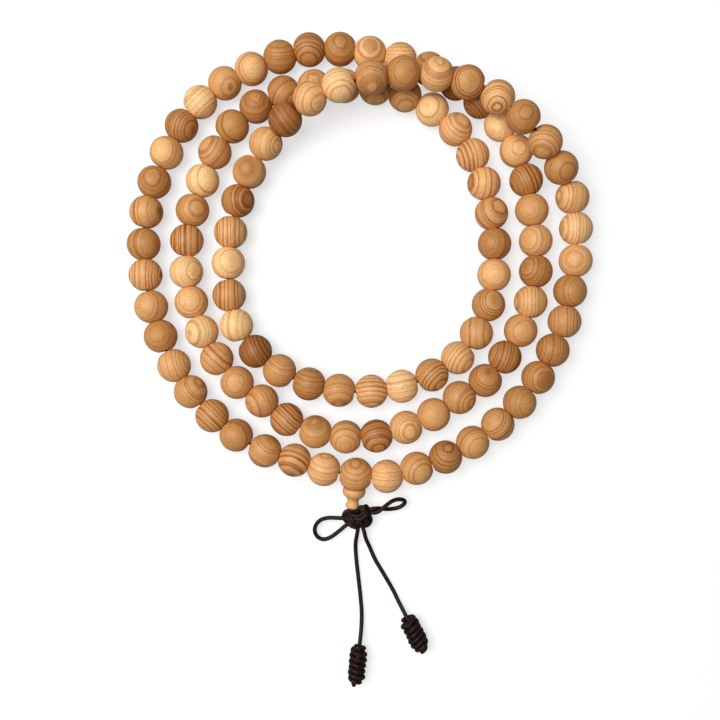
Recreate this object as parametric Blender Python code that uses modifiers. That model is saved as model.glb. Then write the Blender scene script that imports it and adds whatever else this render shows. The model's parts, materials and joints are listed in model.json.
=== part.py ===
"""A mala: 108 turned wooden beads and a larger three-hole guru bead on one elastic cord, laid
down in three turns. Below the guru bead are a small turned tower bead, a bow knot and two
tails, each of which ends in a wound knot.

+Z is up and the table is at z = 0. The tower bead and the tails point along -Y. The origin is
on the table, under the middle of the beads and the bow. Lengths below are in millimetres.
"""

import math

import bmesh
import bpy
import numpy as np
from mathutils import Matrix, Vector
from mathutils.geometry import intersect_line_line

MM = 0.001

# Beads: a ball a little flattened along its hole.
BEAD_RADIUS = 4.0
BEAD_HALF_LENGTH = 3.65
BEAD_SPACING = 7.42
BEAD_FACE_RADIUS = 1.2
HOLE_RADIUS = 0.8
LOBE_ANGLES = (54, 18, -18, -54)
SIDES = 12

# Guru bead and the tower bead that seats against it.
GURU_RADIUS = 4.1
GURU_HALF_LENGTH = 3.7
GURU_THIRD_HOLE_RADIUS = 1.15
TOWER_BORE_RADIUS = 1.12
TOWER_LENGTH = 8.3
TOWER_LEAN = Vector((-0.11, -1.0, -0.19)).normalized()

# Cords: the string is stretched thinner inside the beads than the tails are outside.
STRING_RADIUS = 0.38
STRING_PAIR_OFFSET = 0.5
TAIL_RADIUS = 0.48
GAP = 0.3

# The knot, with its ears, and the wound knots on the tails.
KNOT_CENTRE = Vector((-0.7, -56.1, 2.6))
KNOT_HALF_SIZES = (3.2, 2.4, 2.3)
WOUND_RADIUS = 2.2
WOUND_BORE_RADIUS = 0.8

# The lie of the beads: for each stretch of the string, how many beads it holds and the points
# that the bead centres follow, one for about every second bead. The first point is the guru
# bead, and the string runs on from there to the left. z is given only where beads are raised
# over the turns below them.
STRETCHES = (
    (14, ((-1.3, -44.9), (-15.9, -41.7), (-30.0, -35.4), (-41.1, -24.8), (-48.4, -11.0),
          (-51.8, 3.3), (-51.6, 18.0))),
    (14, ((-46.7, 32.4), (-38.6, 44.5), (-26.3, 52.5), (-12.3, 57.1), (2.3, 56.2),
          (16.4, 52.4), (28.8, 44.3))),
    (14, ((37.2, 32.8), (40.9, 18.8), (41.9, 4.0), (38.3, -10.2), (30.0, -21.8),
          (18.1, -29.9), (4.3, -35.5))),
    (14, ((-11.0, -34.6), (-23.8, -27.5), (-34.5, -17.3), (-40.9, -3.0), (-41.8, 11.9),
          (-37.9, 26.1), (-31.0, 38.6))),
    (14, ((-18.6, 46.8), (-3.7, 48.4), (11.1, 45.9), (23.2, 37.3), (29.7, 24.2),
          (32.0, 9.8), (30.4, -4.5))),
    (14, ((23.2, -16.8), (10.1, -23.6), (-4.9, -24.7), (-19.2, -20.2), (-29.8, -9.4),
          (-31.9, 5.2), (-29.8, 20.2))),
    (14, ((-22.8, 34.1, 5.5), (-11.3, 43.7, 11.1), (2.9, 47.9, 12.4), (17.9, 48.6, 12.0),
          (31.5, 43.4, 12.0), (42.6, 33.6, 10.8), (50.3, 21.6, 5.4))),
    (11, ((51.3, 6.5), (48.7, -7.8), (42.6, -21.3), (33.2, -32.4), (20.8, -40.4),
          (6.6, -45.2))),
)
# The nearly straight places where three beads share one solid; all others are in twos.
TRIPLE_STARTS = (1, 36, 43, 98)
BEAD_COUNT = 108

# Tails and ears: points that the cord's middle follows.
LEFT_TAIL = ((-0.9, -58.9, 2.2), (-1.2, -60.6, 1.7), (-1.4, -62.6, 0.8), (-1.2, -66.0, 0.55),
             (-0.7, -70.5, 0.55), (-0.2, -75.0, 0.55), (0.1, -79.0, 0.7), (0.0, -82.5, 1.4),
             (-0.3, -85.5, 2.1))
LEFT_WOUND = (Vector((-0.4, -86.0, 2.2)), Vector((-0.9, -95.9, 2.2)))
RIGHT_TAIL = ((0.7, -58.9, 2.2), (1.1, -60.6, 1.7), (1.9, -62.6, 0.8), (3.4, -66.0, 0.55),
              (5.4, -69.4, 0.55), (7.6, -73.2, 0.55), (9.1, -76.2, 0.9), (10.3, -78.4, 1.7))
RIGHT_WOUND = (Vector((10.8, -79.3, 2.2)), Vector((15.2, -88.0, 2.2)))
LEFT_EAR = ((-1.8, -55.6, 2.9), (-5.0, -55.4, 3.0), (-8.4, -55.6, 2.4), (-10.6, -57.2, 1.8),
            (-11.0, -59.1, 1.3), (-9.3, -60.8, 1.0), (-7.0, -59.9, 1.0), (-4.9, -58.2, 1.3),
            (-2.6, -56.6, 1.9))
RIGHT_EAR = ((0.6, -55.0, 3.6), (3.4, -53.9, 4.1), (6.6, -53.4, 3.6), (9.0, -52.9, 2.9),
             (10.4, -51.8, 2.3), (9.4, -51.1, 1.7), (7.0, -51.6, 1.4), (4.8, -53.0, 1.6),
             (3.2, -54.2, 1.9), (0.8, -54.6, 2.2))

TONES = {"cream": (0.72, 0.47, 0.24), "honey": (0.60, 0.34, 0.14), "tan": (0.48, 0.24, 0.09),
         "brown": (0.35, 0.15, 0.05)}
TOWER_COLOUR = (0.78, 0.55, 0.30)
CORD_COLOUR = (0.03, 0.013, 0.009)


def clear_scene():
    for obj in list(bpy.data.objects):
        bpy.data.objects.remove(obj, do_unlink=True)


def collection(name):
    made = bpy.data.collections.new(name)
    bpy.context.scene.collection.children.link(made)
    return made


def material(name, colour, roughness):
    made = bpy.data.materials.new(name)
    made.use_nodes = True
    shader = made.node_tree.nodes["Principled BSDF"]
    shader.inputs["Base Color"].default_value = (*colour, 1.0)
    shader.inputs["Roughness"].default_value = roughness
    shader.inputs["Metallic"].default_value = 0.0
    made.diffuse_color = (*colour, 1.0)
    return made


def give_material(obj, made):
    """The material goes on the object, because copies of a bead group share one mesh."""
    if not obj.data.materials:
        obj.data.materials.append(None)
    obj.material_slots[0].link = "OBJECT"
    obj.material_slots[0].material = made


# ---------------------------------------------------------------- the lie of the beads

def smooth_closed(points, steps=24):
    """A closed curve through the points, as Catmull-Rom spans cut into short steps."""
    ring = np.array(points, float)
    before, after, far = np.roll(ring, 1, 0), np.roll(ring, -1, 0), np.roll(ring, -2, 0)
    t = (np.arange(steps) / steps)[:, None]
    spans = [0.5 * (2 * b + (c - a) * t + (2 * a - 5 * b + 4 * c - d) * t ** 2
                    + (3 * b - a - 3 * c + d) * t ** 3)
             for a, b, c, d in zip(before, ring, after, far)]
    return np.concatenate(spans + [ring[:1]])


def step_along(path, start, chord):
    """The next place on the path, as a fractional index, that is one chord from start."""
    here = at(path, start)
    low = high = start
    while np.linalg.norm(at(path, high) - here) < chord:
        low, high = high, high + 1.0
    for _ in range(30):
        middle = (low + high) / 2
        if np.linalg.norm(at(path, middle) - here) < chord:
            low = middle
        else:
            high = middle
    return (low + high) / 2


def at(path, place):
    index = min(int(place), len(path) - 2)
    return path[index] + (path[index + 1] - path[index]) * (place - index)


def even_places(path, start, end, count):
    """count places from start, a whole number of equal chords short of end."""
    low, high = 0.8 * BEAD_SPACING, 1.2 * BEAD_SPACING
    for _ in range(30):
        chord = (low + high) / 2
        places = [start]
        while len(places) <= count and places[-1] < end:
            places.append(step_along(path, places[-1], chord))
        if len(places) > count and places[count] < end:
            low = chord
        else:
            high = chord
    return places[:count]


def bead_centres():
    """The centres of the guru bead and of beads 1 to 108, none below its place on the table."""
    points = [(p[0], p[1], p[2] if len(p) > 2 else BEAD_RADIUS)
              for _, stretch in STRETCHES for p in stretch]
    steps = 24
    path = smooth_closed(points, steps)
    path = np.concatenate([path, path[1:steps]])
    centres, first = [], 0
    for count, stretch in STRETCHES:
        last = first + len(stretch)
        places = even_places(path, first * steps, last * steps, count)
        centres += [Vector(at(path, place)) for place in places]
        first = last
    for centre in centres:
        centre.z = max(centre.z, BEAD_RADIUS)
    centres[0].z = GURU_RADIUS
    return centres


def bead_groups():
    """The numbers of the beads that share one solid, in stringing order."""
    groups, number = [], 1
    while number <= BEAD_COUNT:
        size = 3 if number in TRIPLE_STARTS else 2
        groups.append(tuple(range(number, number + size)))
        number += size
    return groups


# ---------------------------------------------------------------- shapes

def turned(name, profile, sides):
    """A solid of revolution about Z. The profile runs down the outer side and back up the bore."""
    mesh = bpy.data.meshes.new(name)
    points = [(r * MM, 0.0, z * MM) for r, z in profile]
    count = len(points)
    mesh.from_pydata(points, [(i, (i + 1) % count) for i in range(count)], [])
    obj = bpy.data.objects.new(name, mesh)
    add_screw(obj, sides)
    return obj


def add_screw(obj, sides):
    screw = obj.modifiers.new("Turn", "SCREW")
    screw.axis = "Z"
    screw.angle = math.tau
    screw.steps = screw.render_steps = sides
    screw.use_merge_vertices = True
    screw.merge_threshold = 1e-6
    screw.use_smooth_shade = True


def face_distance(radius, half_length):
    """How far from a bead's middle the small flat face round its hole lies."""
    return half_length * math.sqrt(1 - (BEAD_FACE_RADIUS / radius) ** 2)


def bead_profile(count, radius, half_length):
    """The outline of count beads in a row, joined by a narrow collar at the hole's edge. The
    facets round each bead's middle are flat at its full radius."""
    swell = 1 / math.cos(math.radians(LOBE_ANGLES[1]))
    across = radius * swell / math.cos(math.pi / SIDES)
    face = face_distance(radius, half_length)
    middles = [BEAD_SPACING * ((count - 1) / 2 - i) for i in range(count)]
    outline = [(BEAD_FACE_RADIUS, middles[0] + face)]
    for number, middle in enumerate(middles):
        for angle in map(math.radians, LOBE_ANGLES):
            outline.append((across * math.cos(angle),
                            middle + half_length * swell * math.sin(angle)))
        if number < count - 1:
            outline.append((BEAD_FACE_RADIUS, middle - BEAD_SPACING / 2))
    outline.append((BEAD_FACE_RADIUS, middles[-1] - face))
    return outline + [(HOLE_RADIUS, middles[-1] - face), (HOLE_RADIUS, middles[0] + face)]


def aim(obj, centre, axis, sides):
    """Puts a turned solid at centre with its Z along axis and one flat facet facing down."""
    axis = axis.normalized()
    side = axis.cross(Vector((0, 0, 1))).normalized()
    down = axis.cross(side) * (-1 if axis.cross(side).z > 0 else 1)
    across = down.cross(axis)
    facet_turn = Matrix.Rotation(-math.pi / sides, 3, "Z")
    basis = Matrix((down, -across, axis)).transposed()
    obj.matrix_world = Matrix.Translation(centre * MM) @ (basis @ facet_turn).to_4x4()


def tube(name, points, radius):
    """A round cord along straight runs between the points."""
    curve = bpy.data.curves.new(name, "CURVE")
    curve.dimensions = "3D"
    curve.bevel_depth = radius * MM
    curve.bevel_resolution = 2
    curve.use_fill_caps = True
    spline = curve.splines.new("POLY")
    spline.points.add(len(points) - 1)
    for place, point in zip(spline.points, points):
        place.co = (*(Vector(point) * MM), 1.0)
    return bpy.data.objects.new(name, curve)


def smooth_open(points, spacing):
    """Points about spacing apart on a smooth curve through the given ones."""
    route = np.array(points, float)
    ends = np.concatenate([2 * route[:1] - route[1:2], route, 2 * route[-1:] - route[-2:-1]])
    dense = []
    for a, b, c, d in zip(ends, ends[1:], ends[2:], ends[3:]):
        for t in np.arange(0, 1, 0.05):
            dense.append(0.5 * (2 * b + (c - a) * t + (2 * a - 5 * b + 4 * c - d) * t * t
                                + (3 * b - a - 3 * c + d) * t ** 3))
    dense = np.array(dense + [route[-1]])
    run = np.concatenate([[0], np.cumsum(np.linalg.norm(np.diff(dense, axis=0), axis=1))])
    wanted = np.linspace(0, run[-1], round(run[-1] / spacing) + 1)
    return np.stack([np.interp(wanted, run, dense[:, k]) for k in range(3)], axis=1)


def as_mesh(curve_obj, holder):
    """A curve made a mesh with its caps welded, so that it can be joined or cut."""
    graph = bpy.context.evaluated_depsgraph_get()
    mesh = bpy.data.meshes.new_from_object(curve_obj.evaluated_get(graph))
    work = bmesh.new()
    work.from_mesh(mesh)
    bmesh.ops.remove_doubles(work, verts=work.verts, dist=1e-6)
    work.to_mesh(mesh)
    work.free()
    obj = bpy.data.objects.new(curve_obj.name + "_mesh", mesh)
    obj.matrix_world = curve_obj.matrix_world
    holder.objects.link(obj)
    bpy.data.objects.remove(curve_obj, do_unlink=True)
    return obj


def as_tool(obj):
    obj.hide_render = True
    obj.display_type = "WIRE"


# ---------------------------------------------------------------- the pieces

def make_beads(parts, centres):
    """The turned groups of beads, each turning on the string about its own hole."""
    meshes = {}
    tones = list(TONES.items())
    for order, numbers in enumerate(bead_groups()):
        name = f"beads_{numbers[0]:03d}_{numbers[-1]:03d}"
        size = len(numbers)
        if size not in meshes:
            profile = bead_profile(size, BEAD_RADIUS, BEAD_HALF_LENGTH)
            obj = turned(name, profile, SIDES)
            meshes[size] = obj.data
        else:
            obj = bpy.data.objects.new(name, meshes[size])
            add_screw(obj, SIDES)
        parts.objects.link(obj)
        middle = sum((centres[n] for n in numbers), Vector()) / size
        aim(obj, middle, centres[numbers[-1]] - centres[numbers[0]], SIDES)
        tone, colour = tones[(order * 3 + order // 4) % len(tones)]
        give_material(obj, material(f"{name} {tone} wood", colour, 0.45))


def make_guru(parts, tools, centre, axis):
    """The bead where both ends of the string leave, through a third hole in its side."""
    obj = turned("guru_bead", bead_profile(1, GURU_RADIUS, GURU_HALF_LENGTH), SIDES)
    parts.objects.link(obj)
    aim(obj, centre, axis, SIDES)
    bpy.ops.mesh.primitive_cylinder_add(vertices=SIDES, radius=GURU_THIRD_HOLE_RADIUS * MM,
                                        depth=2 * GURU_RADIUS * MM)
    cutter = bpy.context.object
    cutter.name = "third_hole_cutter"
    for holder in list(cutter.users_collection):
        holder.objects.unlink(cutter)
    tools.objects.link(cutter)
    aim(cutter, centre + TOWER_LEAN * (GURU_RADIUS - 0.2), TOWER_LEAN, SIDES)
    as_tool(cutter)
    cut = obj.modifiers.new("Third hole", "BOOLEAN")
    cut.operation = "DIFFERENCE"
    cut.object = cutter
    give_material(obj, material("guru bead wood", TONES["tan"], 0.45))


def make_tower(parts, guru_centre):
    """The turned bead below the guru bead: a hollow seat, a round collar, a neck and a foot.
    Heights are distances from the middle of the guru bead."""
    seat_radius = GURU_RADIUS / math.cos(math.pi / SIDES) + 0.2
    rim = 2.4
    profile = [(TOWER_BORE_RADIUS, -seat_radius), (rim, -math.sqrt(seat_radius ** 2 - rim ** 2)),
               (2.75, -4.1), (2.75, -4.6), (2.3, -5.4), (1.4, -6.1), (1.35, -6.7), (1.6, -7.4),
               (1.65, -8.0), (1.4, -TOWER_LENGTH), (TOWER_BORE_RADIUS, -TOWER_LENGTH)]
    obj = turned("guru_tower", profile, SIDES)
    parts.objects.link(obj)
    aim(obj, guru_centre, -TOWER_LEAN, SIDES)
    give_material(obj, material("tower wood", TOWER_COLOUR, 0.4))


def bends_between(before, after):
    """Where the string bends between two groups: once where their hole axes meet, or at both
    faces where the axes pass each other at a distance."""
    midway = (before[1] + after[0]) / 2
    closest = intersect_line_line(*before, *after)
    if closest is None:
        return [midway]
    place = (closest[0] + closest[1]) / 2
    meet = (closest[0] - closest[1]).length < 0.1 and (place - midway).length < GAP
    return [place] if meet else [before[1], after[0]]


def make_string(parts, centres):
    """One run of elastic cord: up the tower, out of the guru bead to the left, through every
    bead and back in from the right, and down the tower beside its start."""
    guru = centres[0]
    along = (centres[1] - centres[-1]).normalized()
    side = STRING_PAIR_OFFSET * along
    foot = guru + TOWER_LEAN * (TOWER_LENGTH + 0.1)
    face = along * face_distance(GURU_RADIUS, GURU_HALF_LENGTH)
    runs = [(guru, guru + face)]
    for numbers in bead_groups():
        first, last = centres[numbers[0]], centres[numbers[-1]]
        axis = (last - first).normalized()
        middle = sum((centres[n] for n in numbers), Vector()) / len(numbers)
        half = BEAD_SPACING * (len(numbers) - 1) / 2 + face_distance(BEAD_RADIUS, BEAD_HALF_LENGTH)
        runs.append((middle - axis * half, middle + axis * half))
    runs.append((guru - face, guru))
    points = [foot + side, guru + side]
    for before, after in zip(runs, runs[1:]):
        points += bends_between(before, after)
    points += [guru - side, foot - side]
    obj = tube("string", points, STRING_RADIUS)
    parts.objects.link(obj)
    give_material(obj, material("string cord", CORD_COLOUR, 0.5))


def make_bow_knot(parts, tools):
    """The knot of woven strands, with the two ears of the bow pulled out of it."""
    work = bmesh.new()
    bmesh.ops.create_icosphere(work, subdivisions=2, radius=MM)
    mesh = bpy.data.meshes.new("bow_knot")
    work.to_mesh(mesh)
    work.free()
    obj = bpy.data.objects.new("bow_knot", mesh)
    parts.objects.link(obj)
    mesh.transform(Matrix.Diagonal((*KNOT_HALF_SIZES, 1.0)))
    obj.location = KNOT_CENTRE * MM
    for label, route in (("left", LEFT_EAR), ("right", RIGHT_EAR)):
        ear = tube(f"{label}_ear", smooth_open(route, 1.9), TAIL_RADIUS)
        tools.objects.link(ear)
        ear = as_mesh(ear, tools)
        as_tool(ear)
        join = obj.modifiers.new(f"{label} ear", "BOOLEAN")
        join.operation = "UNION"
        join.object = ear
    give_material(obj, material("knot cord", CORD_COLOUR, 0.5))


def make_tail(parts, side, route, wound):
    """One tail of the cord and the knot wound round its end. The cord runs on through the
    knot's core. The tail's origin is on its joint, where it leaves the bow knot."""
    top, bottom = wound
    axis = (bottom - top).normalized()
    core = [tuple(top + axis * d) for d in (1.5, 4.5, 7.5)]
    points = smooth_open(route + tuple(core), 2.4)
    cord = tube(f"tail_{side}", points - np.array(route[0]), TAIL_RADIUS)
    cord.location = Vector(route[0]) * MM
    parts.objects.link(cord)
    give_material(cord, material(f"{side} tail cord", CORD_COLOUR, 0.5))
    length = (bottom - top).length
    half = length / 2
    profile = [(1.5, half), (WOUND_RADIUS, half - 1.6), (WOUND_RADIUS, -half + 3.4),
               (1.9, -half + 2.0), (1.2, -half), (WOUND_BORE_RADIUS, -half),
               (WOUND_BORE_RADIUS, half)]
    knot = turned(f"end_knot_{side}", profile, SIDES)
    parts.objects.link(knot)
    aim(knot, (top + bottom) / 2, top - bottom, SIDES)
    give_material(knot, material(f"{side} end knot cord", CORD_COLOUR, 0.55))


def main():
    clear_scene()
    parts = collection("mala prayer beads")
    tools = collection("cutters and joins")
    centres = bead_centres()
    make_beads(parts, centres)
    make_guru(parts, tools, centres[0], centres[1] - centres[-1])
    make_tower(parts, centres[0])
    make_string(parts, centres)
    make_bow_knot(parts, tools)
    make_tail(parts, "left", LEFT_TAIL, LEFT_WOUND)
    make_tail(parts, "right", RIGHT_TAIL, RIGHT_WOUND)


main()
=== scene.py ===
"""A mala laid down in three turns: 108 turned wooden beads and a three-hole guru bead on one dark
elastic cord, with a small turned tower bead, a bow knot, and two tails ending in wound knots."""

import json
import math

import bpy
import numpy as np
from mathutils import Matrix, Vector


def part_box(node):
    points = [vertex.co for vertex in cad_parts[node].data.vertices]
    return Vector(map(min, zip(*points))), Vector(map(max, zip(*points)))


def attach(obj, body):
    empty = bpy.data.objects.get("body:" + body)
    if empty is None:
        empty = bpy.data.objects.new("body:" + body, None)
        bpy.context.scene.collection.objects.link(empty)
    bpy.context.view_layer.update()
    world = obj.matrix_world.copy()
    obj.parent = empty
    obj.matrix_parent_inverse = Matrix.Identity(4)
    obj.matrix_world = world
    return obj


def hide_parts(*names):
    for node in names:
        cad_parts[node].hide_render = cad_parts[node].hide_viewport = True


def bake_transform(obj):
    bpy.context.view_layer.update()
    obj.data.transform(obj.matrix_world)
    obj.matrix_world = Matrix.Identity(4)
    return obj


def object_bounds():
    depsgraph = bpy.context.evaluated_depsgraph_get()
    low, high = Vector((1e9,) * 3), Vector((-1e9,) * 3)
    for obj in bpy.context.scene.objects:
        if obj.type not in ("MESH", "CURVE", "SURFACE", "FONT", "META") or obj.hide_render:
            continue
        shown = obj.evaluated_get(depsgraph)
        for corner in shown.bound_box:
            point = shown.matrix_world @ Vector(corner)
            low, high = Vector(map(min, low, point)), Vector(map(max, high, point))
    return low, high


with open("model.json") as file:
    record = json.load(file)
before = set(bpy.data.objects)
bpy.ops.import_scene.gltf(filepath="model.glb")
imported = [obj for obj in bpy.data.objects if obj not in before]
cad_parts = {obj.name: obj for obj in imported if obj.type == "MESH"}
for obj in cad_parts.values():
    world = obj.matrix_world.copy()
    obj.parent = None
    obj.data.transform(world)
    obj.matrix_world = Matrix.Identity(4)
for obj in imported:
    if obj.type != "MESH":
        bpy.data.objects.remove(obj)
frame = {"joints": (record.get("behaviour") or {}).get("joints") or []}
cad_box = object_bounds()
joints = {joint["name"]: joint for joint in frame["joints"]}


# ------------------------------------------------------------------ table, light and camera
# The mala lies on a plain white table under one broad soft light from the left, in a dim pale
# room. The table and the room are brighter to the camera, so that both show as plain white.
# It is seen from straight above, a little over its own length away.
CAMERA_HEIGHT = 0.220
CAMERA_LENS = 45.0
TABLE_SIDE = 6.0
TABLE_WHITE = (0.44, 0.44, 0.44, 1.0)
KEY_PLACE = Vector((-0.23, 0.06, 0.53))
KEY_SIDE = 0.5
KEY_POWER = 4.0
ROOM_LIGHT = 0.15
ROOM_SEEN = 0.69
TABLE_GLOW = 0.62
CAMERA_ASIDE = -0.0003


def add(tree, kind, inputs=None, **settings):
    """Adds a node, sets its options, and links or fills in its inputs by name or number."""
    made = tree.nodes.new(kind)
    for option, value in settings.items():
        setattr(made, option, value)
    for key, value in (inputs or {}).items():
        if isinstance(value, bpy.types.NodeSocket):
            tree.links.new(value, made.inputs[key])
        else:
            made.inputs[key].default_value = value
    return made


def maths(tree, operation, *values):
    return add(tree, "ShaderNodeMath", dict(enumerate(values)), operation=operation).outputs[0]


def new_material(name):
    material = bpy.data.materials.new(name)
    material.use_nodes = True
    return material, material.node_tree, material.node_tree.nodes["Principled BSDF"]


scene = bpy.context.scene
scene.view_settings.view_transform = "Standard"
middle = (cad_box[0] + cad_box[1]) / 2

camera = bpy.data.objects.new("camera", bpy.data.cameras.new("camera"))
camera.location = (CAMERA_ASIDE, middle.y, CAMERA_HEIGHT)
camera.data.lens = CAMERA_LENS
camera.data.sensor_width = 36.0
camera.data.clip_start = 0.01
scene.collection.objects.link(camera)
scene.camera = camera

edge = TABLE_SIDE / 2
table_mesh = bpy.data.meshes.new("table")
table_mesh.from_pydata([(-edge, -edge, 0), (edge, -edge, 0), (edge, edge, 0), (-edge, edge, 0)],
                       [], [(0, 1, 2, 3)])
table = bpy.data.objects.new("table", table_mesh)
table_finish, tree, shader = new_material("white table")
shader.inputs["Base Color"].default_value = TABLE_WHITE
shader.inputs["Roughness"].default_value = 0.8
shader.inputs["Specular IOR Level"].default_value = 0.1
shader.inputs["Emission Color"].default_value = (1.0, 1.0, 1.0, 1.0)
seen = add(tree, "ShaderNodeLightPath").outputs["Is Camera Ray"]
tree.links.new(maths(tree, "MULTIPLY", seen, TABLE_GLOW), shader.inputs["Emission Strength"])
table_mesh.materials.append(table_finish)
scene.collection.objects.link(table)

key = bpy.data.objects.new("soft key light", bpy.data.lights.new("soft key light", "AREA"))
key.data.energy = KEY_POWER
key.data.size = KEY_SIDE
key.location = KEY_PLACE
key.rotation_euler = (middle - KEY_PLACE).to_track_quat("-Z", "Y").to_euler()
scene.collection.objects.link(key)

room = bpy.data.worlds.new("pale room")
room.use_nodes = True
room.node_tree.nodes["Background"].inputs["Color"].default_value = (1.0, 1.0, 1.0, 1.0)
seen = add(room.node_tree, "ShaderNodeLightPath").outputs["Is Camera Ray"]
room.node_tree.links.new(
    maths(room.node_tree, "MULTIPLY_ADD", seen, ROOM_SEEN - ROOM_LIGHT, ROOM_LIGHT),
    room.node_tree.nodes["Background"].inputs["Strength"])
scene.world = room


# ------------------------------------------------------------------ tails
# Both ends of the cord hang out below the bow knot as tails. The cord is round elastic in a
# fine braided sheath, dyed almost black; each tail runs on through its wound knot's core.
MM = 0.001
TAIL_RADIUS = 0.5 * MM
BRAID_PITCH_MM = 1.1
BRAID_STRANDS = 8
CORD_DARK = (0.0105, 0.0036, 0.0023, 1.0)
# The paler cord colour stands for wear and also for a painted highlight on the raised braid
# strands.
CORD_WORN_AND_RIDGE_HIGHLIGHT = (0.030, 0.013, 0.009, 1.0)
KNOT_DEPTH = 1.1 * MM
INTO_KNOT = {"left": Vector((0.1, 1.0, 0.15)), "right": Vector((-0.3, 1.0, 0.1))}
CORE_DEPTHS = (1.5 * MM, 4.5 * MM, 7.5 * MM)
MELTED_END_ANGLES = (85, 65, 40, 20)


def mm(*points):
    return [Vector(point) * MM for point in points]


LEFT_TAIL = mm((-0.9, -58.9, 2.2), (-1.2, -60.6, 1.7), (-1.4, -62.6, 0.8), (-1.2, -66.0, 0.55),
               (-0.7, -70.5, 0.55), (-0.2, -75.0, 0.55), (0.1, -79.0, 0.7), (0.0, -82.5, 1.4),
               (-0.3, -85.5, 2.1))
LEFT_WOUND = mm((-0.4, -86.0, 2.25), (-1.45, -96.3, 2.25))
RIGHT_TAIL = mm((0.7, -58.9, 2.2), (1.1, -60.6, 1.7), (1.9, -62.6, 0.8), (3.4, -66.0, 0.55),
                (5.4, -69.4, 0.55), (7.6, -73.2, 0.55), (9.1, -76.2, 0.9), (10.3, -78.4, 1.7))
RIGHT_WOUND = mm((10.8, -79.3, 2.4), (15.2, -88.0, 2.4))


def mixed(tree, share, first, second, how="MIX"):
    made = tree.nodes.new("ShaderNodeMix")
    made.data_type, made.blend_type = "RGBA", how
    for number, value in ((0, share), (6, first), (7, second)):
        if isinstance(value, bpy.types.NodeSocket):
            tree.links.new(value, made.inputs[number])
        else:
            made.inputs[number].default_value = value
    return made.outputs[2]


def cord_finish():
    """Almost black sheath of fine diagonal strands, a little paler where they stand up as a
    painted highlight, and in worn patches.
    """
    material, tree, shader = new_material("dark braided cord")
    around = add(tree, "ShaderNodeAttribute", attribute_name="around").outputs["Vector"]
    along = add(tree, "ShaderNodeAttribute", attribute_name="along").outputs["Fac"]
    across = add(tree, "ShaderNodeSeparateXYZ", {0: around})
    angle = maths(tree, "ARCTAN2", across.outputs["Y"], across.outputs["X"])
    turn = maths(tree, "MULTIPLY", angle, float(BRAID_STRANDS // 2))
    run = maths(tree, "MULTIPLY", along, math.tau / BRAID_PITCH_MM)
    strands = maths(tree, "MAXIMUM", maths(tree, "SINE", maths(tree, "ADD", run, turn)),
                    maths(tree, "SINE", maths(tree, "SUBTRACT", run, turn)))
    place = add(tree, "ShaderNodeTexCoord").outputs["Object"]
    wear = add(tree, "ShaderNodeTexNoise", {"Vector": place, "Scale": 900.0, "Detail": 3.0})
    # Painted highlight: the strands' height makes the colour paler on their ridges, mixed with
    # noise for patches of wear.
    ridge_highlight_and_wear = maths(tree, "MULTIPLY_ADD", strands, 0.2, wear.outputs["Fac"])
    share = add(tree, "ShaderNodeMapRange", {"Value": ridge_highlight_and_wear, "From Min": 0.4, "From Max": 1.0})
    tree.links.new(mixed(tree, share.outputs["Result"], CORD_DARK, CORD_WORN_AND_RIDGE_HIGHLIGHT),
                   shader.inputs["Base Color"])
    bump = add(tree, "ShaderNodeBump", {"Strength": 0.3, "Distance": 0.00003, "Height": strands})
    tree.links.new(bump.outputs["Normal"], shader.inputs["Normal"])
    shader.inputs["Roughness"].default_value = 0.48
    shader.inputs["Specular IOR Level"].default_value = 0.2
    return material


def cord_tree(finish):
    """Sweeps a round section along a route, and keeps how far along and around each point is."""
    tree = bpy.data.node_groups.new("round cord", "GeometryNodeTree")
    face = tree.interface
    face.new_socket("Route", in_out="INPUT", socket_type="NodeSocketGeometry")
    face.new_socket("Radius", in_out="INPUT", socket_type="NodeSocketFloat")
    face.new_socket("Sides", in_out="INPUT", socket_type="NodeSocketInt")
    face.new_socket("Cord", in_out="OUTPUT", socket_type="NodeSocketGeometry")
    given = add(tree, "NodeGroupInput").outputs
    run = add(tree, "GeometryNodeSplineParameter").outputs["Length"]
    route = add(tree, "GeometryNodeStoreNamedAttribute", {
        "Geometry": given["Route"], "Name": "along", "Value": maths(tree, "DIVIDE", run, MM)},
        data_type="FLOAT")
    circle = add(tree, "GeometryNodeCurvePrimitiveCircle", {
        "Resolution": given["Sides"], "Radius": given["Radius"]})
    section = add(tree, "GeometryNodeStoreNamedAttribute", {
        "Geometry": circle.outputs["Curve"], "Name": "around",
        "Value": add(tree, "GeometryNodeInputPosition").outputs[0]}, data_type="FLOAT_VECTOR")
    swept = add(tree, "GeometryNodeCurveToMesh", {
        "Curve": route.outputs[0], "Profile Curve": section.outputs[0], "Fill Caps": True,
        "Scale": add(tree, "GeometryNodeInputRadius").outputs[0]})
    smooth = add(tree, "GeometryNodeSetShadeSmooth", {"Geometry": swept.outputs[0]})
    whole = add(tree, "GeometryNodeRealizeInstances", {"Geometry": smooth.outputs[0]})
    dyed = add(tree, "GeometryNodeSetMaterial", {"Geometry": whole.outputs[0],
                                                 "Material": finish})
    add(tree, "NodeGroupOutput", {0: dyed.outputs[0]})
    return tree


def made_plain(obj, tree, values, name):
    """Runs a tree on obj and keeps only the plain mesh that it makes, as a new piece."""
    modifier = obj.modifiers.new(tree.name, "NODES")
    modifier.node_group = tree
    for label, value in values.items():
        modifier[tree.interface.items_tree[label].identifier] = value
    scene.collection.objects.link(obj)
    graph = bpy.context.evaluated_depsgraph_get()
    mesh = bpy.data.meshes.new_from_object(obj.evaluated_get(graph),
                                           preserve_all_data_layers=True, depsgraph=graph)
    bpy.data.objects.remove(obj)
    piece = bpy.data.objects.new(name, mesh)
    scene.collection.objects.link(piece)
    return piece


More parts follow.
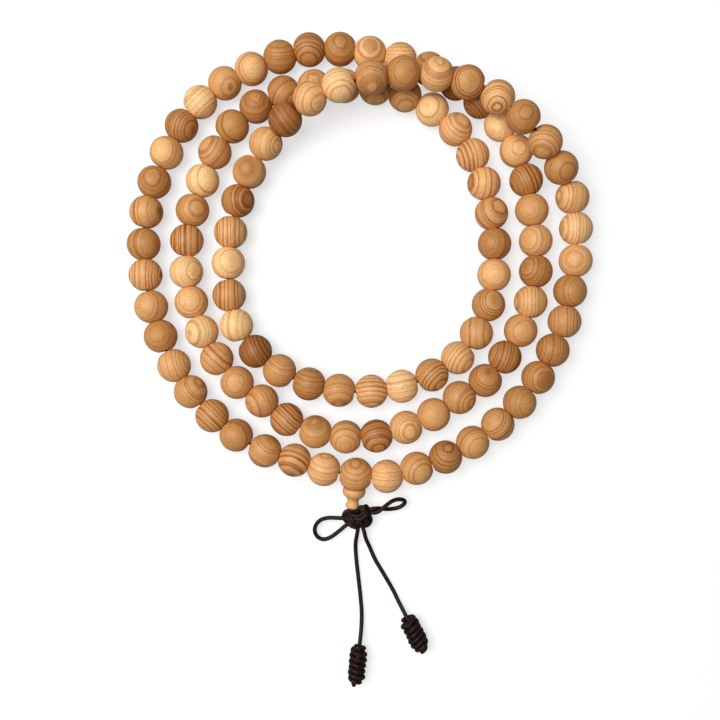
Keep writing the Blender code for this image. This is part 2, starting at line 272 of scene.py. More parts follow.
def smooth_route(points, steps=6):
    """A smooth run through the points, as Catmull-Rom spans cut into short steps."""
    route = [2 * points[0] - points[1], *points, 2 * points[-1] - points[-2]]
    run = []
    for a, b, c, d in zip(route, route[1:], route[2:], route[3:]):
        for t in (step / steps for step in range(steps)):
            run.append(0.5 * (2 * b + (c - a) * t + (2 * a - 5 * b + 4 * c - d) * t * t
                              + (3 * b - a - 3 * c + d) * t ** 3))
    return run + [points[-1]]


def with_melted_ends(run, radius):
    """The run with a small round end past each of its points, as a melted cord has, and how
    thick the cord is at each point."""
    steps = [math.radians(angle) for angle in MELTED_END_ANGLES]
    start, end = (run[0] - run[1]).normalized(), (run[-1] - run[-2]).normalized()
    before = [run[0] + start * radius * math.sin(a) for a in steps]
    after = [run[-1] + end * radius * math.sin(a) for a in reversed(steps)]
    shares = [math.cos(a) for a in steps]
    return before + run + after, shares + [1.0] * len(run) + shares[::-1]


def laid_cord(name, runs, radius, sides=16):
    """One piece of cord, or several, each lying along its own run of points."""
    curve = bpy.data.curves.new(name + "_route", "CURVE")
    curve.dimensions = "3D"
    for run in runs:
        points, shares = with_melted_ends(run, radius)
        spline = curve.splines.new("POLY")
        spline.points.add(len(points) - 1)
        for place, point, share in zip(spline.points, points, shares):
            place.co = (*point, 1.0)
            place.radius = share
    route = bpy.data.objects.new(name + "_route", curve)
    return made_plain(route, cord_sweep, {"Radius": radius, "Sides": sides}, name)


cord_sweep = cord_tree(cord_finish())
tails = {}
for side, route, wound in (("left", LEFT_TAIL, LEFT_WOUND), ("right", RIGHT_TAIL, RIGHT_WOUND)):
    top, bottom = wound
    axis = (bottom - top).normalized()
    core = [top + axis * depth for depth in CORE_DEPTHS]
    run = smooth_route([route[0] + INTO_KNOT[side] * KNOT_DEPTH, *route, *core])
    tails[side] = laid_cord(f"{side}_tail_cord", [run], TAIL_RADIUS), run


# ------------------------------------------------------------------ wound knots
# Each tail ends in a barrel knot: its own end is wound seven times round it over a close inner
# winding, drawn tight, and tucked in at the bottom, where it narrows to a blunt point.
WOUND_TURNS = 7
WOUND_RADIUS = {"left": 1.68 * MM, "right": 1.84 * MM}
WOUND_TILT = {"left": 0.08 * MM, "right": 0.3 * MM}
WOUND_SAG = {"left": 0.18 * MM, "right": 0.34 * MM}
WOUND_START, WOUND_TOP, WOUND_BOTTOM = 0.6, 0.45 * MM, 0.35 * MM
INNER_RADIUS = 0.95 * MM
INNER_START, INNER_TOP, INNER_BOTTOM = 2.0, 0.9 * MM, 1.4 * MM
SHOULDER_WIDTH, SHOULDER_SLOPE = 0.56, 3.2
TAPER_FROM, TAPER_BY = 0.76, 0.74
UNEVEN, UNEVEN_RATE = 0.04, 1.7
STEPS_A_TURN = 22


def barrel(share):
    """How wide the outer winding is at a share of its height: small shoulder, taper below."""
    shoulder = min(1.0, SHOULDER_WIDTH + share * SHOULDER_SLOPE)
    past = max(0.0, (share - TAPER_FROM) / (1.0 - TAPER_FROM))
    return min(shoulder, 1.0 - TAPER_BY * past ** 1.5)


def winding(top, bottom, turns, radius, hand, start, tilt=0.0, sag=0.0, width=lambda share: 1.0):
    """Points of cord wound round the line from top to bottom, turning left or right-handed, a
    little unevenly. Away from the ends the turns tilt sideways and sag in front."""
    axis = (bottom - top).normalized()
    across = axis.cross(Vector((0, 0, 1))).normalized()
    up = across.cross(axis)
    points = []
    for step in range(turns * STEPS_A_TURN + 1):
        share = step / (turns * STEPS_A_TURN)
        angle = start + hand * math.tau * turns * share
        wide = radius * width(share) * (1.0 + UNEVEN * math.sin(UNEVEN_RATE * angle))
        along = sag * math.sin(angle) - hand * tilt * math.cos(angle)
        along *= min(1.0, 4.0 * share, 4.0 * (1.0 - share))
        points.append(top.lerp(bottom, share) + across * wide * math.cos(angle)
                      + up * wide * math.sin(angle) + axis * along)
    return points


for side, hand, wound in (("left", 1, LEFT_WOUND), ("right", -1, RIGHT_WOUND)):
    top, bottom = wound
    axis = (bottom - top).normalized()
    outer = winding(top + axis * WOUND_TOP, bottom - axis * WOUND_BOTTOM, WOUND_TURNS,
                    WOUND_RADIUS[side], hand, WOUND_START, WOUND_TILT[side], WOUND_SAG[side],
                    barrel)
    inner = winding(top + axis * INNER_TOP, bottom - axis * INNER_BOTTOM, WOUND_TURNS + 1,
                    INNER_RADIUS, -hand, INNER_START)
    knot = laid_cord(f"{side}_wound_knot", [outer, inner], TAIL_RADIUS)
    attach(knot, f"{side}_tail")
    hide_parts(f"end_knot_{side}")
    cord, run = tails[side]
    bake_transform(cord)
    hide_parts(f"tail_{side}")


# ------------------------------------------------------------------ bow knot
# Above the tails the doubled cord is tied in a flat button knot of woven strands, with a loop
# pulled out of each side as a bow. The hidden turns inside are a woven ball under the strands.
KNOT_CENTRE = Vector((-0.8, -55.7, 2.2)) * MM
LEFT_EAR = mm((-1.8, -55.6, 2.9), (-5.0, -55.5, 3.0), (-7.9, -55.5, 2.6), (-9.8, -56.1, 2.1),
              (-11.0, -57.4, 1.6), (-11.3, -59.0, 1.2), (-10.6, -60.4, 1.0), (-9.2, -61.0, 1.0),
              (-7.5, -60.5, 1.0), (-5.7, -59.2, 1.2), (-4.1, -57.8, 1.6), (-2.6, -56.6, 1.9))
RIGHT_EAR = mm((0.9, -53.5, 3.1), (3.0, -53.15, 3.3), (4.4, -53.2, 2.7), (5.8, -53.5, 1.9),
               (7.6, -53.5, 1.5), (9.3, -53.1, 1.5), (10.5, -52.1, 1.8), (10.3, -51.3, 2.2),
               (9.0, -51.0, 2.8), (7.6, -51.3, 3.2), (6.3, -52.1, 3.6), (5.0, -53.1, 3.9),
               (3.9, -53.9, 3.8), (2.6, -54.15, 3.3), (1.2, -54.0, 2.8))
KNOT_STRANDS = {
    "upper left lobe": mm((-3.7, -56.4, 2.1), (-4.2, -55.6, 2.3), (-4.15, -54.6, 2.6),
                          (-3.6, -53.9, 2.9), (-2.65, -53.6, 3.0), (-1.6, -53.65, 3.1),
                          (-0.6, -53.95, 2.8), (0.2, -54.6, 2.2)),
    "upper arc": mm((-2.9, -53.9, 3.0), (-2.45, -54.4, 3.5), (-1.8, -54.75, 3.9),
                    (-0.85, -54.85, 4.2), (0.0, -54.5, 4.5), (0.6, -53.9, 4.6),
                    (0.85, -53.2, 4.2)),
    "lower arc": mm((-2.1, -55.1, 3.4), (-1.5, -55.45, 3.9), (-0.6, -55.6, 4.2),
                    (0.3, -55.3, 4.4), (1.0, -54.6, 4.4), (1.35, -53.8, 4.1),
                    (1.3, -53.1, 3.4)),
    "first bight": mm((-1.2, -54.2, 3.2), (-0.75, -53.3, 3.7), (-0.2, -52.75, 3.9),
                      (0.35, -52.75, 3.9), (0.7, -53.4, 4.1), (0.9, -54.3, 4.0)),
    "second bight": mm((0.3, -53.6, 4.1), (0.65, -52.8, 4.1), (1.1, -52.5, 3.6),
                       (1.5, -52.95, 3.4), (1.7, -53.8, 3.3), (1.5, -54.6, 3.0),
                       (1.0, -55.3, 2.6)),
    "upper left diagonal": mm((-3.35, -53.9, 2.6), (-3.0, -54.6, 3.4), (-2.4, -55.35, 3.9),
                              (-1.75, -56.1, 4.0), (-1.15, -56.75, 3.5), (-0.7, -57.3, 2.7)),
    "lower left diagonal": mm((-3.8, -54.7, 2.4), (-3.45, -55.35, 3.1), (-2.85, -56.05, 3.5),
                              (-2.15, -56.75, 3.6), (-1.5, -57.25, 3.2), (-0.9, -57.6, 2.5)),
    "crossing strand": mm((-2.0, -57.5, 2.6), (-1.45, -56.95, 3.5), (-0.85, -56.3, 4.0),
                          (-0.4, -55.8, 4.0), (0.0, -55.3, 3.6)),
    "inner right arc": mm((0.3, -54.9, 3.8), (0.7, -55.35, 4.0), (1.15, -55.95, 3.8),
                          (1.35, -56.5, 3.4), (1.0, -57.0, 3.2), (0.3, -56.9, 3.6),
                          (-0.2, -56.3, 3.9), (-0.5, -55.7, 3.7)),
    "right lobe": mm((1.0, -54.3, 2.4), (1.6, -54.7, 2.4), (2.15, -55.35, 2.2),
                     (2.3, -56.2, 2.1), (1.95, -57.0, 2.0), (1.25, -57.5, 2.0),
                     (0.5, -57.35, 2.3), (0.0, -56.8, 2.8)),
    "lower left lobe": mm((-3.3, -55.4, 1.9), (-3.55, -56.2, 1.9), (-3.05, -57.05, 1.9),
                          (-2.2, -57.65, 2.0), (-1.2, -57.9, 2.0), (-0.4, -57.5, 2.3),
                          (0.0, -56.9, 2.7)),
}
BALL_HALF_SIZES = (2.1, 1.3, 0.95)
BALL_STEPS = 260
BALL_STEEPEST = math.radians(68)
BALL_OVER_AND_UNDER = 0.09


def woven_ball(centre, half_sizes, leads=5, bights=4):
    """One closed strand crossing itself all round a flattened ball, as in a Turk's head."""
    points = []
    for step in range(BALL_STEPS):
        share = math.tau * step / BALL_STEPS
        turn, tilt = leads * share, BALL_STEEPEST * math.sin(bights * share)
        swell = 1.0 + BALL_OVER_AND_UNDER * math.cos((leads + bights) * share)
        points.append(centre + swell * Vector((
            half_sizes[0] * math.cos(tilt) * math.cos(turn),
            half_sizes[1] * math.cos(tilt) * math.sin(turn),
            half_sizes[2] * math.sin(tilt))) * MM)
    return points + points[:1]


strands = [smooth_route(points) for points in (LEFT_EAR, RIGHT_EAR, *KNOT_STRANDS.values())]
strands.append(woven_ball(KNOT_CENTRE, BALL_HALF_SIZES))
bow = laid_cord("bow_and_button_knot", strands, TAIL_RADIUS)
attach(bow, "root")
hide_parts("bow_knot")


# ------------------------------------------------------------------ string of the beads
# One run of the same cord, stretched thinner, comes up the tower beside its own end, leaves
# the guru bead to the left, passes through all the beads and comes back in from the right.
STRING_RADIUS = 0.38 * MM
STRING_PAIR_OFFSET = 0.5 * MM
BEAD_SPACING = 7.42 * MM


def bead_places(joint):
    """The middles of the two or three beads that turn together, in stringing order."""
    place, axis = Vector(joint["pos_m"]), Vector(joint["axis"]).normalized()
    first, last = (int(number) for number in joint["child"].split("_")[1:])
    count = last - first + 1
    return [(first + i, place + axis * BEAD_SPACING * (i - (count - 1) / 2), axis)
            for i in range(count)]


turning = [joint for joint in frame["joints"] if joint["child"].startswith("beads_")]
beads = [bead for joint in turning for bead in bead_places(joint)]
guru_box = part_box("guru_bead")
guru_place = (guru_box[0] + guru_box[1]) / 2
guru_axis = (beads[0][1] - beads[-1][1]).normalized()
tower_axis = Vector(joints["tower_turn"]["axis"]).normalized()
tower_down = tower_axis if tower_axis.y < 0 else -tower_axis
PAIR_FOOT, PAIR_SEAT, PAIR_PARTS = 8.9 * MM, 4.5 * MM, 1.6 * MM
GURU_HOLE_REACH = 2.6 * MM

beside = guru_axis * STRING_PAIR_OFFSET
foot, seat, parting = (guru_place + tower_down * way for way in (PAIR_FOOT, PAIR_SEAT, PAIR_PARTS))
loop = [guru_place + guru_axis * GURU_HOLE_REACH, *(place for _, place, _ in beads),
        guru_place - guru_axis * GURU_HOLE_REACH]
run = ([foot + beside, seat + beside]
       + smooth_route([parting + beside, *loop, parting - beside], 8)
       + [seat - beside, foot - beside])
string = laid_cord("bead_string", [run], STRING_RADIUS, sides=10)
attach(string, "root")
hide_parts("string")


# ------------------------------------------------------------------ turned beads
# Each bead is turned from plain straight-grained softwood, drilled along its middle and waxed.
# Blanks are cut at every angle to the growth rings, so one bead shows stripes, the next an eye.
BEAD_RADIUS = 4.0 * MM
BEAD_HALF_LENGTH = 3.67 * MM
BORE_RADIUS = 0.8 * MM
LIP_ROUNDING = 0.22 * MM
# For beads 1 to 108: tone (c cream, l light, t tan, b brown, d dark; a capital
# has strongly marked rings), then the bearing from +Y clockwise, and the tilt from straight
# up, of the middle of the rings, in tens of degrees, and the rings to every RINGS_OVER_MM.
BEAD_LOOKS = """
l0174 T2065 T0376 b2422 T2287 t0566 l0789 b0012 t2722 L0998 b0954 T0974
b0214 l2712 B1268 c3285 t1443 l1426 b0068 B1868 b0217 l0012 l0086 b0044
d0146 B0499 c2363 l3503 B0695 t2722 l2748 b2959 l2788 t1513 B1198 b0137
t1258 t0214 l1427 B1757 t1835 t0046 T0499 t2468 t0003 T0494 c2647 l0114
c0947 T0995 t0937 c0944 t3156 b0933 b0025 b1476 t0015 l1776 t1876 t1866
c2722 l0447 L0796 L2775 T0535 b2747 l2913 T0528 t0973 l1367 T1468 c3595
L1886 t1866 b0187 t0278 D0688 c0974 T0996 c0825 L0997 B0956 t3214 l1169
d0585 l1356 c1767 t1858 b1514 l0136 T1818 L1957 b0406 t2067 b1533 l2777
c2788 l2724 b1035 t0979 b1098 b1225 b1034 T3157 t1436 B0148 t1333 l0094
""".split()
TONES = {"d": 0.0, "b": 0.25, "t": 0.5, "l": 0.75, "c": 1.0}
TONE_COLOURS = ((0.0, (0.41, 0.165, 0.040)), (0.25, (0.57, 0.262, 0.077)),
                (0.5, (0.71, 0.355, 0.124)), (0.75, (0.87, 0.475, 0.190)),
                (1.0, (1.00, 0.625, 0.282)))
LATE_WOOD = (0.44, 0.235, 0.10, 1.0)
LATE_SHARES = ((0.0, 0.45), (0.06, 0.95), (0.18, 1.0), (0.28, 0.6), (0.45, 0.24), (0.75, 0.07),
               (1.0, 0.0))
RINGS_OVER_MM = 6.5
PITH_DISTANCE_MM = 22.0
LATE_BAND_MM = 1.05
BLANK_STEP_MM = (13.1, 7.7, 3.3)


def bead_look(code):
    """Tone, marking, ring direction in the row frame and rings in a millimetre, from a code."""
    bearing, tilt = (math.radians(10 * int(part)) for part in (code[1:3], code[3]))
    rings = Vector((math.sin(tilt) * math.sin(bearing), math.sin(tilt) * math.cos(bearing),
                    math.cos(tilt)))
    return TONES[code[0].lower()], float(code[0].isupper()), rings, int(code[4]) / RINGS_OVER_MM


def stepped(tree, value, stops):
    """A colour ramp with the given stops, each a position and a colour or a grey level."""
    ramp = add(tree, "ShaderNodeValToRGB", {0: value})
    for spot, _ in stops[1:-1]:
        ramp.color_ramp.elements.new(spot)
    for stop, (spot, colour) in zip(ramp.color_ramp.elements, stops):
        channels = colour if isinstance(colour, tuple) else (colour,) * 3
        stop.position, stop.color = spot, (*channels, 1.0)
    return ramp.outputs["Color"]


def wood_finish():
    """Waxed softwood: pale early wood with darker late-wood lines that stop sharply on one
    side, fine fibres and pores along the grain, and slow changes of tone."""
    material, tree, shader = new_material("waxed bead wood")

    def own(name, output="Fac"):
        return add(tree, "ShaderNodeAttribute", attribute_name=name).outputs[output]

    number = own("number")
    shift = add(tree, "ShaderNodeCombineXYZ", {
        way: maths(tree, "MULTIPLY", number, step) for way, step in enumerate(BLANK_STEP_MM)})
    place = add(tree, "ShaderNodeVectorMath", {0: own("grain", "Vector"), 1: shift.outputs[0]},
                operation="ADD").outputs[0]
    slow = add(tree, "ShaderNodeTexNoise", {"Vector": place, "Scale": 0.33, "Detail": 2.0})
    ripple = add(tree, "ShaderNodeTexNoise", {"Vector": place, "Scale": 1.6, "Detail": 1.0})

    across = add(tree, "ShaderNodeSeparateXYZ", {0: own("grain", "Vector")}).outputs
    depth = maths(tree, "ADD", across["Z"], PITH_DISTANCE_MM)
    radial = maths(tree, "SUBTRACT", maths(tree, "SQRT", maths(
        tree, "MULTIPLY_ADD", depth, depth, maths(tree, "MULTIPLY", across["Y"], across["Y"]))),
        PITH_DISTANCE_MM)
    wavy = maths(tree, "MULTIPLY_ADD", slow.outputs["Fac"], 0.5, radial)
    wavy = maths(tree, "MULTIPLY_ADD", ripple.outputs["Fac"], 0.12, wavy)
    seasons = add(tree, "ShaderNodeTexNoise", {
        "W": maths(tree, "MULTIPLY_ADD", number, 5.3, wavy), "Scale": 0.8, "Detail": 1.0},
        noise_dimensions="1D")
    growth = maths(tree, "MULTIPLY_ADD", wavy, own("rings"), maths(tree, "MULTIPLY", number, 0.37))
    growth = maths(tree, "MULTIPLY_ADD", seasons.outputs["Fac"], 1.6, growth)
    left = maths(tree, "SUBTRACT", 1.0, maths(tree, "FRACT", growth))
    before_edge = maths(tree, "DIVIDE", left, maths(tree, "MULTIPLY", own("rings"), LATE_BAND_MM))
    ring = stepped(tree, before_edge, LATE_SHARES)
    tone = stepped(tree, own("tone"), TONE_COLOURS)

    strength = maths(tree, "MULTIPLY_ADD", own("marking"), 0.32, 0.6)
    patchy = maths(tree, "MULTIPLY_ADD", slow.outputs["Fac"], 0.9, 0.5)
    late = maths(tree, "MULTIPLY", ring, maths(tree, "MULTIPLY", strength, patchy))
    wood = mixed(tree, late, tone, mixed(tree, 1.0, tone, LATE_WOOD, "MULTIPLY"))

    stretch = add(tree, "ShaderNodeMapping", {"Vector": place, "Scale": (0.7, 7.0, 7.0)})
    fibre = add(tree, "ShaderNodeTexNoise", {"Vector": stretch.outputs[0], "Scale": 1.0,
                                             "Detail": 3.0, "Roughness": 0.6})
    pores = add(tree, "ShaderNodeTexNoise", {"Vector": stretch.outputs[0], "Scale": 2.3,
                                             "Detail": 1.0})
    pitted = add(tree, "ShaderNodeMapRange", {"Value": pores.outputs["Fac"], "From Min": 0.56,
                                              "From Max": 0.70, "To Max": 0.2})
    speckle = add(tree, "ShaderNodeTexNoise", {"Vector": place, "Scale": 3.2, "Detail": 2.0})
    shade = maths(tree, "MULTIPLY_ADD", fibre.outputs["Fac"], 1.1, 0.46)
    shade = maths(tree, "MULTIPLY", shade,
                  maths(tree, "MULTIPLY_ADD", speckle.outputs["Fac"], 0.9, 0.57))
    shade = maths(tree, "MULTIPLY", shade,
                  maths(tree, "MULTIPLY_ADD", slow.outputs["Fac"], 0.4, 0.8))
    shade = maths(tree, "MINIMUM", shade, 1.12)
    shade = maths(tree, "SUBTRACT", shade, pitted.outputs["Result"])
    warm = add(tree, "ShaderNodeCombineColor", {0: maths(tree, "MULTIPLY_ADD", shade, 0.75, 0.25),
                                                1: shade,
                                                2: maths(tree, "MULTIPLY_ADD", shade, 1.2, -0.2)})
    tree.links.new(mixed(tree, 1.0, wood, warm.outputs[0], "MULTIPLY"),
                   shader.inputs["Base Color"])

    rough = maths(tree, "MULTIPLY_ADD", fibre.outputs["Fac"], 0.16, 0.4)
    tree.links.new(rough, shader.inputs["Roughness"])
    relief = maths(tree, "MULTIPLY_ADD", late, 0.6, maths(
        tree, "SUBTRACT", fibre.outputs["Fac"], pitted.outputs["Result"]))
    bump = add(tree, "ShaderNodeBump", {"Strength": 0.25, "Distance": 0.00003, "Height": relief})
    tree.links.new(bump.outputs["Normal"], shader.inputs["Normal"])
    shader.inputs["Specular IOR Level"].default_value = 0.38
    return material


def store(tree, geometry, name, value, kind="FLOAT_VECTOR"):
    return add(tree, "GeometryNodeStoreNamedAttribute", {
        "Geometry": geometry, "Name": name, "Value": value}, data_type=kind).outputs[0]


def named(tree, name, kind="FLOAT_VECTOR"):
    return add(tree, "GeometryNodeInputNamedAttribute", {"Name": name}, data_type=kind).outputs[0]


def turned_to(tree, direction):
    """The rotation that takes +Z to a direction."""
    return add(tree, "FunctionNodeAlignRotationToVector", {"Vector": direction},
               axis="Z").outputs[0]


def bead_tree(name, finish, third_hole=False):
    """Turns a ball with flat drilled ends on each point, its hole along the point's hole_axis,
    and stores each vertex's place in the wood, in millimetres from the bead's middle."""
    tree = bpy.data.node_groups.new(name, "GeometryNodeTree")
    face = tree.interface
    face.new_socket("Middles", in_out="INPUT", socket_type="NodeSocketGeometry")
    for label in ("Radius", "Half Length", "Bore Radius", "Lip Rounding"):
        face.new_socket(label, in_out="INPUT", socket_type="NodeSocketFloat")
    for label in ("Facets Round", "Facets Along"):
        face.new_socket(label, in_out="INPUT", socket_type="NodeSocketInt")
    if third_hole:
        face.new_socket("Third Hole Radius", in_out="INPUT", socket_type="NodeSocketFloat")
        face.new_socket("Third Hole Way", in_out="INPUT", socket_type="NodeSocketVector")
    face.new_socket("Beads", in_out="OUTPUT", socket_type="NodeSocketGeometry")
    given = add(tree, "NodeGroupInput").outputs
    start = maths(tree, "ARCCOSINE", maths(tree, "DIVIDE", given["Bore Radius"], given["Radius"]))
    arc = add(tree, "GeometryNodeCurveArc", {
        "Resolution": given["Facets Along"], "Radius": given["Radius"],
        "Start Angle": maths(tree, "MULTIPLY", start, -1.0),
        "Sweep Angle": maths(tree, "MULTIPLY", start, 2.0)}, mode="RADIUS")
    ball = add(tree, "ShaderNodeSeparateXYZ", {
        0: add(tree, "GeometryNodeInputPosition").outputs[0]}).outputs
    cut_off = maths(tree, "MAXIMUM", maths(tree, "MINIMUM", ball["Y"], given["Half Length"]),
                    maths(tree, "MULTIPLY", given["Half Length"], -1.0))
    flattened = add(tree, "ShaderNodeCombineXYZ", {0: ball["X"], 1: cut_off, 2: 0.0})
    outline = add(tree, "GeometryNodeSetPosition", {
        "Geometry": arc.outputs[0], "Position": flattened.outputs[0]})
    lips = store(tree, outline.outputs[0], "lip",
                 add(tree, "GeometryNodeCurveEndpointSelection").outputs[0], "BOOLEAN")
    closed = add(tree, "GeometryNodeSetSplineCyclic", {"Geometry": lips, "Cyclic": True})
    eased = add(tree, "GeometryNodeFilletCurve", {
        "Curve": closed.outputs[0], "Count": 4, "Limit Radius": True,
        "Radius": maths(tree, "MULTIPLY", named(tree, "lip", "BOOLEAN"), given["Lip Rounding"])},
        mode="POLY")
    inwards = add(tree, "ShaderNodeCombineXYZ", {
        0: maths(tree, "MULTIPLY", given["Bore Radius"], -1.0), 1: 0.0, 2: 0.0})
    offset = add(tree, "GeometryNodeTransform", {
        "Geometry": eased.outputs[0], "Translation": inwards.outputs[0]})
    lathe = add(tree, "GeometryNodeCurvePrimitiveCircle", {
        "Resolution": given["Facets Round"], "Radius": given["Bore Radius"]})
    swept = add(tree, "GeometryNodeCurveToMesh", {
        "Curve": lathe.outputs[0], "Profile Curve": offset.outputs[0]})
    centred = store(tree, given["Middles"], "bead_middle",
                    add(tree, "GeometryNodeInputPosition").outputs[0])
    placed = add(tree, "GeometryNodeInstanceOnPoints", {
        "Points": centred, "Instance": swept.outputs[0],
        "Rotation": turned_to(tree, named(tree, "hole_axis"))})
    solid = add(tree, "GeometryNodeRealizeInstances", {"Geometry": placed.outputs[0]}).outputs[0]
    if third_hole:
        drill = add(tree, "GeometryNodeMeshCylinder", {
            "Vertices": 40, "Radius": given["Third Hole Radius"],
            "Depth": maths(tree, "MULTIPLY", given["Radius"], 2.0)})
        reach = add(tree, "ShaderNodeVectorMath", {
            0: given["Third Hole Way"], "Scale": given["Radius"]}, operation="SCALE")
        lined = add(tree, "GeometryNodeTransform", {
            "Geometry": drill.outputs[0], "Translation": reach.outputs[0],
            "Rotation": turned_to(tree, given["Third Hole Way"])})
        aimed = add(tree, "GeometryNodeInstanceOnPoints", {
            "Points": centred, "Instance": lined.outputs[0]})
        cutter = add(tree, "GeometryNodeRealizeInstances", {"Geometry": aimed.outputs[0]})
        solid = add(tree, "GeometryNodeMeshBoolean", {
            "Mesh 1": solid, "Mesh 2": cutter.outputs[0]}, operation="DIFFERENCE",
            solver="EXACT").outputs[0]
    own = add(tree, "ShaderNodeVectorMath", {
        0: add(tree, "GeometryNodeInputPosition").outputs[0], 1: named(tree, "bead_middle")},
        operation="SUBTRACT")
    cut = add(tree, "FunctionNodeInvertRotation", {0: turned_to(tree, named(tree, "ring_axis"))})
    in_wood = add(tree, "FunctionNodeRotateVector", {
        "Vector": own.outputs[0], "Rotation": cut.outputs[0]})
    grain = add(tree, "ShaderNodeVectorMath", {0: in_wood.outputs[0], "Scale": 1 / MM},
                operation="SCALE")
    marked = store(tree, solid, "grain", grain.outputs[0])
    smooth = add(tree, "GeometryNodeSetShadeSmooth", {"Geometry": marked})
    waxed = add(tree, "GeometryNodeSetMaterial", {"Geometry": smooth.outputs[0],
                                                  "Material": finish})
    add(tree, "NodeGroupOutput", {0: waxed.outputs[0]})
    return tree


def bead_points(name, rows):
    """A point for each bead, with its number, the way of its hole and the look of its wood."""
    mesh = bpy.data.meshes.new(name)
    mesh.from_pydata([place for _, place, _, _ in rows], [], [])
    looks = [bead_look(code) for _, _, _, code in rows]
    for label, values in (("number", [number for number, _, _, _ in rows]),
                          ("tone", [look[0] for look in looks]),
                          ("marking", [look[1] for look in looks]),
                          ("rings", [look[3] for look in looks])):
        mesh.attributes.new(label, "FLOAT", "POINT").data.foreach_set("value", values)
    for label, vectors in (("hole_axis", [axis for _, _, axis, _ in rows]),
                           ("ring_axis", [look[2] for look in looks])):
        flat = np.array([tuple(vector) for vector in vectors]).ravel()
        mesh.attributes.new(label, "FLOAT_VECTOR", "POINT").data.foreach_set("vector", flat)
    return bpy.data.objects.new(name, mesh)


wood = wood_finish()
bead_lathe = bead_tree("turned bead", wood)
bead_sizes = {"Radius": BEAD_RADIUS, "Half Length": BEAD_HALF_LENGTH, "Bore Radius": BORE_RADIUS,
              "Lip Rounding": LIP_ROUNDING, "Facets Round": 40, "Facets Along": 30}
for joint in turning:
    rows = [(number, place, axis, BEAD_LOOKS[number - 1])
            for number, place, axis in bead_places(joint)]
    node = joint["child"]
    points = bead_points(node + "_middles", rows)
    piece = made_plain(points, bead_lathe, bead_sizes, node.replace("beads", "wooden_beads"))
    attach(piece, node)
    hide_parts(node)


# ------------------------------------------------------------------ guru bead
# The largest bead, of the same wood, where the string's two ends meet: besides its hole along
# the string it has a third hole in its side, which opens into the tower bead.
GURU_LOOK = "t0057"
GURU_NUMBER = 109
GURU_RADIUS = 4.1 * MM
GURU_HALF_LENGTH = 3.75 * MM
THIRD_HOLE_RADIUS = 1.15 * MM
guru_lathe = bead_tree("turned guru bead", wood, third_hole=True)
guru_sizes = {"Radius": GURU_RADIUS, "Half Length": GURU_HALF_LENGTH, "Bore Radius": BORE_RADIUS,
              "Lip Rounding": LIP_ROUNDING, "Facets Round": 48, "Facets Along": 28,
              "Third Hole Radius": THIRD_HOLE_RADIUS, "Third Hole Way": tower_down}
points = bead_points("guru_middle", [(GURU_NUMBER, guru_place, guru_axis, GURU_LOOK)])
guru = made_plain(points, guru_lathe, guru_sizes, "three_hole_guru_bead")
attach(guru, "root")
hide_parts("guru_bead")


# ------------------------------------------------------------------ tower bead
# A little turned bead of paler wood that seats on the guru bead: a cupped collar, a waisted
# neck and a small foot, drilled through for the doubled string.
TOWER_BORE = 1.12
TOWER_OUTLINE = ((TOWER_BORE, 3.99), (1.7, 3.79), (2.2, 3.52), (2.5, 3.32), (2.66, 3.5),
                 (2.76, 3.9), (2.73, 4.45), (2.5, 5.0), (2.05, 5.5), (1.6, 5.9),
                 (1.38, 6.35), (1.36, 6.75), (1.46, 7.15), (1.62, 7.55), (1.66, 7.9),
                 (1.56, 8.15), (1.35, 8.3), (TOWER_BORE, 8.3))
TOWER_FACETS = 48
TOWER_DARK = (0.60, 0.28, 0.09, 1.0)
TOWER_PALE = (0.90, 0.50, 0.20, 1.0)


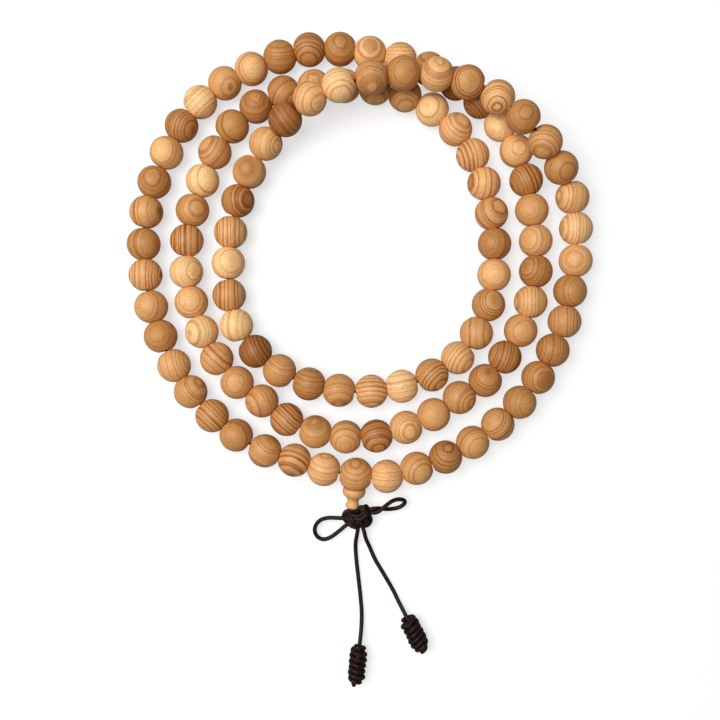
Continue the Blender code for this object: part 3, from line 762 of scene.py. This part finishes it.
def tower_finish():
    """Pale close-grained wood, lightly waxed: a warm yellow with short soft fibres."""
    material, tree, shader = new_material("pale tower wood")
    place = add(tree, "ShaderNodeAttribute", attribute_name="grain").outputs["Vector"]
    stretch = add(tree, "ShaderNodeMapping", {"Vector": place, "Scale": (3.0, 3.0, 0.5)})
    fibre = add(tree, "ShaderNodeTexNoise", {"Vector": stretch.outputs[0], "Scale": 1.6,
                                             "Detail": 4.0, "Roughness": 0.6})
    cloud = add(tree, "ShaderNodeTexNoise", {"Vector": place, "Scale": 0.7, "Detail": 2.0})
    worn = maths(tree, "MULTIPLY_ADD", cloud.outputs["Fac"], 0.6, fibre.outputs["Fac"])
    share = add(tree, "ShaderNodeMapRange", {"Value": worn, "From Min": 0.5, "From Max": 1.1})
    tree.links.new(mixed(tree, share.outputs["Result"], TOWER_DARK, TOWER_PALE),
                   shader.inputs["Base Color"])
    bump = add(tree, "ShaderNodeBump", {"Strength": 0.25, "Distance": 0.00003,
                                        "Height": fibre.outputs["Fac"]})
    tree.links.new(bump.outputs["Normal"], shader.inputs["Normal"])
    shader.inputs["Roughness"].default_value = 0.45
    shader.inputs["Specular IOR Level"].default_value = 0.35
    return material


outline = [Vector((r, 0.0, z)) * MM for r, z in TOWER_OUTLINE]
profile = smooth_route(outline, 3)
tower_mesh = bpy.data.meshes.new("tower_bead")
tower_mesh.from_pydata(profile, [(i, (i + 1) % len(profile)) for i in range(len(profile))], [])
turned = bpy.data.objects.new("tower_outline", tower_mesh)
spin = turned.modifiers.new("lathe", "SCREW")
spin.axis, spin.angle = "Z", math.tau
spin.steps = spin.render_steps = TOWER_FACETS
spin.use_merge_vertices, spin.merge_threshold = True, 1e-6
spin.use_smooth_shade = True
scene.collection.objects.link(turned)
graph = bpy.context.evaluated_depsgraph_get()
mesh = bpy.data.meshes.new_from_object(turned.evaluated_get(graph))
bpy.data.objects.remove(turned)
in_wood = np.zeros(len(mesh.vertices) * 3)
mesh.vertices.foreach_get("co", in_wood)
mesh.attributes.new("grain", "FLOAT_VECTOR", "POINT").data.foreach_set("vector", in_wood / MM)
mesh.transform(Matrix.Translation(guru_place) @ tower_down.to_track_quat("Z", "Y")
               .to_matrix().to_4x4())
mesh.materials.append(tower_finish())
tower = bpy.data.objects.new("turned_tower_bead", mesh)
scene.collection.objects.link(tower)
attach(tower, "tower")
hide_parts("guru_tower")
